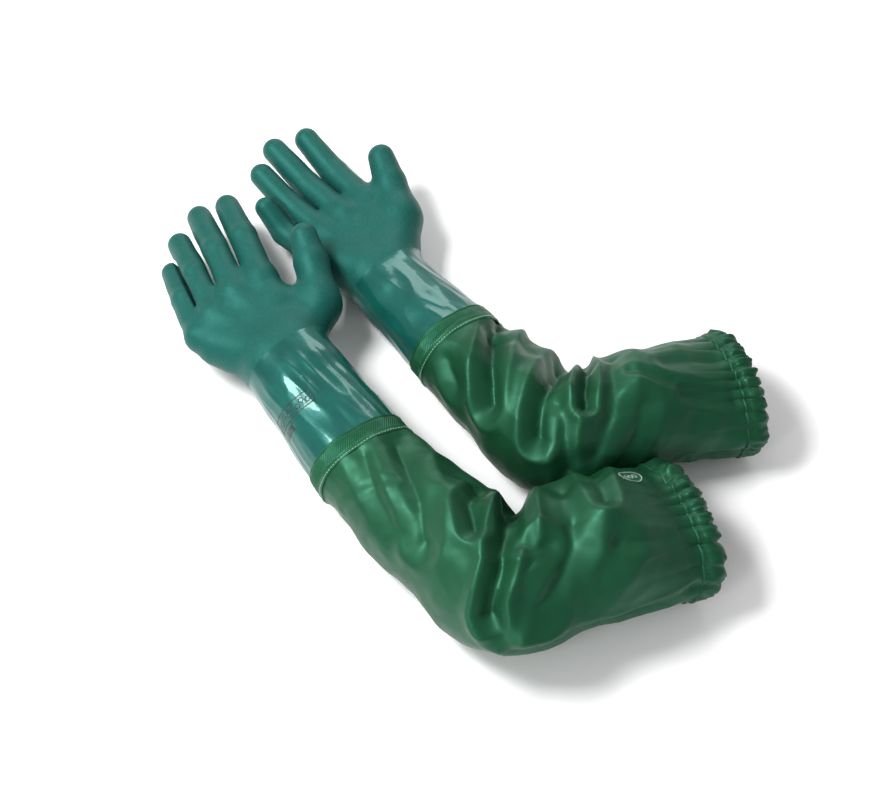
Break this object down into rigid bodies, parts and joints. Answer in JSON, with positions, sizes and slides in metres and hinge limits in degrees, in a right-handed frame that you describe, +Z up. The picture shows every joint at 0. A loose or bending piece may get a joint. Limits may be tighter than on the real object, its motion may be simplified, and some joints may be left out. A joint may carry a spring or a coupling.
{
  "type": "long beekeeping gloves",
  "caption": "Pair of long rubber-dipped work gloves with glossy cuffs, joined by a ribbed band to coated cloth sleeves that bend at the elbow and end in elastic hems.",
  "frame": {"origin": "the middle of the pair's footprint, on the surface that it lies on", "axes": "+Z up from the surface, +Y along the forearms towards the fingertips, +X towards the arm openings and from the left glove to the right"},
  "size_m": [0.3874, 0.6457, 0.1175],
  "materials": {
    "sandy_grip": "matt sandy dipped coating",
    "gloss_cuff": "smooth glossy dipped coating",
    "weld_band": "fine ribbed weld",
    "sleeve_cloth": "satin coated cloth",
    "cotton": "knitted cotton",
    "seam_tape": "welded tape",
    "elastic": "woven elastic",
    "thread": "twisted thread",
    "print_ink": "printed",
    "badge": "printed badge"
  },
  "bodies": {
    "left_upper_arm": {"left_upper_sleeve": "sleeve_cloth", "left_elbow_fold": "sleeve_cloth", "left_upper_seam_tape": "seam_tape", "left_hem_casing": "sleeve_cloth", "left_hem_elastic": "elastic", "left_hem_stitching": "thread", "left_sleeve_badge": "badge"},
    "left_forearm": {"left_forearm_sleeve": "sleeve_cloth", "left_forearm_seam_tape": "seam_tape", "left_joining_band": "weld_band", "left_band_stitching": "thread", "left_cuff": "gloss_cuff", "left_cuff_liner": "cotton", "left_cuff_print": "print_ink", "left_wrist_fold": "gloss_cuff"},
    "left_hand": {"left_palm_shell": "sandy_grip", "left_palm_liner": "cotton"},
    "left_index_base": {"left_index_base": "sandy_grip"},
    "left_index_tip": {"left_index_tip": "sandy_grip"},
    "left_middle_base": {"left_middle_base": "sandy_grip"},
    "left_middle_tip": {"left_middle_tip": "sandy_grip"},
    "left_ring_base": {"left_ring_base": "sandy_grip"},
    "left_ring_tip": {"left_ring_tip": "sandy_grip"},
    "left_little_base": {"left_little_base": "sandy_grip"},
    "left_little_tip": {"left_little_tip": "sandy_grip"},
    "left_thumb_base": {"left_thumb_base": "sandy_grip"},
    "left_thumb_tip": {"left_thumb_tip": "sandy_grip"},
    "right_upper_arm": {"right_upper_sleeve": "sleeve_cloth", "right_elbow_fold": "sleeve_cloth", "right_upper_seam_tape": "seam_tape", "right_hem_casing": "sleeve_cloth", "right_hem_elastic": "elastic", "right_hem_stitching": "thread"},
    "right_forearm": {"right_forearm_sleeve": "sleeve_cloth", "right_forearm_seam_tape": "seam_tape", "right_joining_band": "weld_band", "right_band_stitching": "thread", "right_cuff": "gloss_cuff", "right_cuff_liner": "cotton", "right_wrist_fold": "gloss_cuff"},
    "right_hand": {"right_palm_shell": "sandy_grip", "right_palm_liner": "cotton"},
    "right_index_base": {"right_index_base": "sandy_grip"},
    "right_index_tip": {"right_index_tip": "sandy_grip"},
    "right_middle_base": {"right_middle_base": "sandy_grip"},
    "right_middle_tip": {"right_middle_tip": "sandy_grip"},
    "right_ring_base": {"right_ring_base": "sandy_grip"},
    "right_ring_tip": {"right_ring_tip": "sandy_grip"},
    "right_little_base": {"right_little_base": "sandy_grip"},
    "right_little_tip": {"right_little_tip": "sandy_grip"},
    "right_thumb_base": {"right_thumb_base": "sandy_grip"},
    "right_thumb_tip": {"right_thumb_tip": "sandy_grip"}
  },
  "joints": [
    {"name": "pair_apart", "type": "slide", "parent": "left_upper_arm", "child": "right_upper_arm", "axis": [0.5, 0.866, 0], "range_m": [0, 0.2]},
    {"name": "left_elbow", "type": "hinge", "parent": "left_upper_arm", "child": "left_forearm", "pos_m": [-0.1285, -0.21, 0.058], "axis": [0, 0, 1], "range_deg": [0, 50], "deforming": ["left_elbow_fold"]},
    {"name": "left_wrist", "type": "hinge", "parent": "left_forearm", "child": "left_hand", "pos_m": [-0.1235, 0.098, 0.046], "axis": [-0.9962, -0.0872, 0], "range_deg": [-30, 3], "deforming": ["left_wrist_fold"]},
    {"name": "left_index_knuckle", "type": "hinge", "parent": "left_hand", "child": "left_index_base", "pos_m": [-0.0915, 0.182, 0.055], "axis": [-0.9455, 0.3256, 0], "range_deg": [-10, 60], "stiffness_Nm_per_rad": 0.3},
    {"name": "left_index_middle", "type": "hinge", "parent": "left_index_base", "child": "left_index_tip", "pos_m": [-0.07328, 0.23492, 0.05305], "axis": [-0.9455, 0.3256, 0], "range_deg": [-12, 72], "stiffness_Nm_per_rad": 0.2},
    {"name": "left_middle_knuckle", "type": "hinge", "parent": "left_hand", "child": "left_middle_base", "pos_m": [-0.1205, 0.185, 0.053], "axis": [-0.9455, 0.3256, 0], "range_deg": [-10, 60], "stiffness_Nm_per_rad": 0.3},
    {"name": "left_middle_middle", "type": "hinge", "parent": "left_middle_base", "child": "left_middle_tip", "pos_m": [-0.10132, 0.24071, 0.04991], "axis": [-0.9455, 0.3256, 0], "range_deg": [-12, 72], "stiffness_Nm_per_rad": 0.2},
    {"name": "left_ring_knuckle", "type": "hinge", "parent": "left_hand", "child": "left_ring_base", "pos_m": [-0.1485, 0.179, 0.048], "axis": [-0.9483, 0.3173, 0], "range_deg": [-10, 60], "stiffness_Nm_per_rad": 0.3},
    {"name": "left_ring_middle", "type": "hinge", "parent": "left_ring_base", "child": "left_ring_tip", "pos_m": [-0.13044, 0.23298, 0.04502], "axis": [-0.9483, 0.3173, 0], "range_deg": [-12, 72], "stiffness_Nm_per_rad": 0.2},
    {"name": "left_little_knuckle", "type": "hinge", "parent": "left_hand", "child": "left_little_base", "pos_m": [-0.1745, 0.173, 0.042], "axis": [-0.9588, 0.284, 0], "range_deg": [-10, 60], "stiffness_Nm_per_rad": 0.3},
    {"name": "left_little_middle", "type": "hinge", "parent": "left_little_base", "child": "left_little_tip", "pos_m": [-0.1609, 0.21891, 0.03865], "axis": [-0.9588, 0.284, 0], "range_deg": [-12, 72], "stiffness_Nm_per_rad": 0.2},
    {"name": "left_thumb_knuckle", "type": "hinge", "parent": "left_hand", "child": "left_thumb_base", "pos_m": [-0.0655, 0.124, 0.052], "axis": [-0.8571, 0.2603, 0.4445], "range_deg": [-4, 8], "stiffness_Nm_per_rad": 0.3},
    {"name": "left_thumb_middle", "type": "hinge", "parent": "left_thumb_base", "child": "left_thumb_tip", "pos_m": [-0.04774, 0.16389, 0.06289], "axis": [-0.8571, 0.2603, 0.4445], "range_deg": [-4.8, 9.6], "stiffness_Nm_per_rad": 0.2},
    {"name": "right_elbow", "type": "hinge", "parent": "right_upper_arm", "child": "right_forearm", "pos_m": [0.0055, -0.12, 0.054], "axis": [0, 0, 1], "range_deg": [-25, 0], "deforming": ["right_elbow_fold"]},
    {"name": "right_wrist", "type": "hinge", "parent": "right_forearm", "child": "right_hand", "pos_m": [0.0075, 0.123, 0.032], "axis": [1, 0, 0], "range_deg": [-30, 4], "deforming": ["right_wrist_fold"]},
    {"name": "right_index_knuckle", "type": "hinge", "parent": "right_hand", "child": "right_index_base", "pos_m": [0.0475, 0.201, 0.039], "axis": [1, 0, 0], "range_deg": [-10, 60], "stiffness_Nm_per_rad": 0.3},
    {"name": "right_index_middle", "type": "hinge", "parent": "right_index_base", "child": "right_index_tip", "pos_m": [0.0475, 0.25293, 0.03628], "axis": [1, 0, 0], "range_deg": [-12, 72], "stiffness_Nm_per_rad": 0.2},
    {"name": "right_middle_knuckle", "type": "hinge", "parent": "right_hand", "child": "right_middle_base", "pos_m": [0.0215, 0.204, 0.037], "axis": [0.999, 0.0436, 0], "range_deg": [-10, 60], "stiffness_Nm_per_rad": 0.3},
    {"name": "right_middle_middle", "type": "hinge", "parent": "right_middle_base", "child": "right_middle_tip", "pos_m": [0.01906, 0.25991, 0.03505], "axis": [0.999, 0.0436, 0], "range_deg": [-12, 72], "stiffness_Nm_per_rad": 0.2},
    {"name": "right_ring_knuckle", "type": "hinge", "parent": "right_hand", "child": "right_ring_base", "pos_m": [-0.0045, 0.2, 0.033], "axis": [0.9962, 0.0872, 0], "range_deg": [-10, 60], "stiffness_Nm_per_rad": 0.3},
    {"name": "right_ring_middle", "type": "hinge", "parent": "right_ring_base", "child": "right_ring_tip", "pos_m": [-0.00894, 0.2508, 0.03211], "axis": [0.9962, 0.0872, 0], "range_deg": [-12, 72], "stiffness_Nm_per_rad": 0.2},
    {"name": "right_little_knuckle", "type": "hinge", "parent": "right_hand", "child": "right_little_base", "pos_m": [-0.0275, 0.196, 0.028], "axis": [0.9925, 0.1219, 0], "range_deg": [-10, 30], "stiffness_Nm_per_rad": 0.3},
    {"name": "right_little_middle", "type": "hinge", "parent": "right_little_base", "child": "right_little_tip", "pos_m": [-0.03213, 0.23372, 0.028], "axis": [0.9925, 0.1219, 0], "range_deg": [-12, 36], "stiffness_Nm_per_rad": 0.2},
    {"name": "right_thumb_knuckle", "type": "hinge", "parent": "right_hand", "child": "right_thumb_base", "pos_m": [0.063, 0.16, 0.041], "axis": [0.767, -0.4615, 0.4458], "range_deg": [-4, 7], "stiffness_Nm_per_rad": 0.3},
    {"name": "right_thumb_middle", "type": "hinge", "parent": "right_thumb_base", "child": "right_thumb_tip", "pos_m": [0.08156, 0.19806, 0.04847], "axis": [0.767, -0.4615, 0.4458], "range_deg": [-4.8, 8.4], "stiffness_Nm_per_rad": 0.2}
  ],
  "couplings": [
    {"joint": "left_index_middle", "follows": "left_index_knuckle", "ratio": 1.2},
    {"joint": "left_middle_middle", "follows": "left_middle_knuckle", "ratio": 1.2},
    {"joint": "left_ring_middle", "follows": "left_ring_knuckle", "ratio": 1.2},
    {"joint": "left_little_middle", "follows": "left_little_knuckle", "ratio": 1.2},
    {"joint": "left_thumb_middle", "follows": "left_thumb_knuckle", "ratio": 1.2},
    {"joint": "right_index_middle", "follows": "right_index_knuckle", "ratio": 1.2},
    {"joint": "right_middle_middle", "follows": "right_middle_knuckle", "ratio": 1.2},
    {"joint": "right_ring_middle", "follows": "right_ring_knuckle", "ratio": 1.2},
    {"joint": "right_little_middle", "follows": "right_little_knuckle", "ratio": 1.2},
    {"joint": "right_thumb_middle", "follows": "right_thumb_knuckle", "ratio": 1.2}
  ]
}
